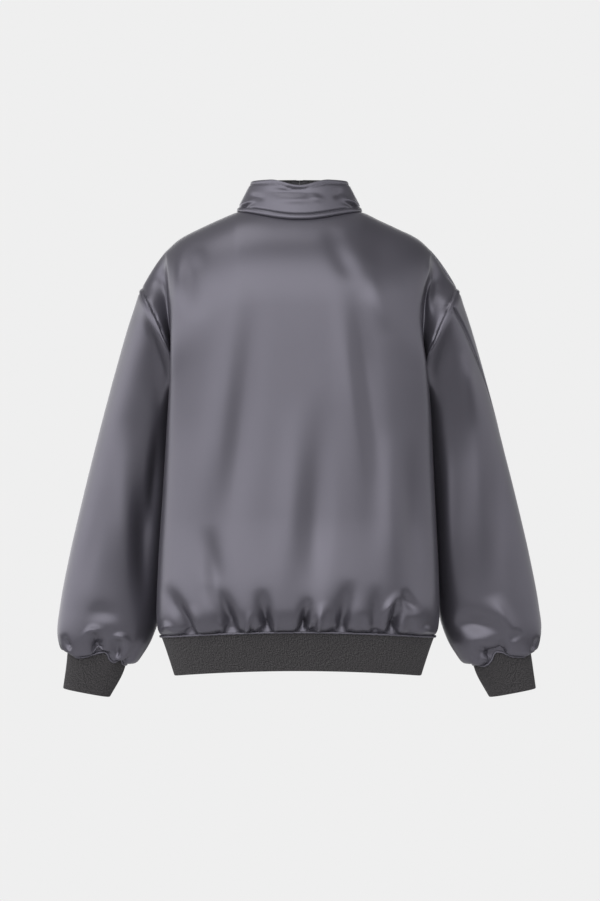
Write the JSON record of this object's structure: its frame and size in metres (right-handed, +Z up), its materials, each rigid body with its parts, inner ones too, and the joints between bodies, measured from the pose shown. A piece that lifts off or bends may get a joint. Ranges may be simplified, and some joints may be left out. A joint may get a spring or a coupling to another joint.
{
  "type": "bomber jacket",
  "caption": "Hollow satin bomber jacket as worn: drop-shoulder sleeves, stand collar, front zip with hinged pull, gathered rib hem and rib cuffs.",
  "frame": {"origin": "middle of the neck opening, level with the shoulder line's neck points, where the wearer's shoulders carry the jacket", "axes": "+Z up out of the neck, +Y towards the wearer's front (the zip), +X towards the wearer's right sleeve"},
  "size_m": [0.7328, 0.28, 0.7824],
  "materials": {
    "satin": "charcoal satin, soft sheen",
    "rib_knit": "charcoal heather rib knit, matte",
    "zip_tape": "black woven tape, matte",
    "gunmetal": "dark gunmetal, satin polish"
  },
  "bodies": {
    "jacket": {"back_panel": "satin", "front_panel_left": "satin", "front_panel_right": "satin", "sleeve_back_left": "satin", "sleeve_front_left": "satin", "sleeve_back_right": "satin", "sleeve_front_right": "satin", "collar": "satin", "hem_rib": "rib_knit", "cuff_left": "rib_knit", "cuff_right": "rib_knit", "zip_tape_left": "zip_tape", "zip_tape_right": "zip_tape", "zip_slider": "gunmetal"},
    "zip_pull": {"zip_pull": "gunmetal"}
  },
  "joints": [
    {"name": "pull_hinge", "type": "hinge", "parent": "jacket", "child": "zip_pull", "pos_m": [0, 0.07179, 0.03383], "axis": [1, 0, 0], "range_deg": [0, 150]}
  ]
}
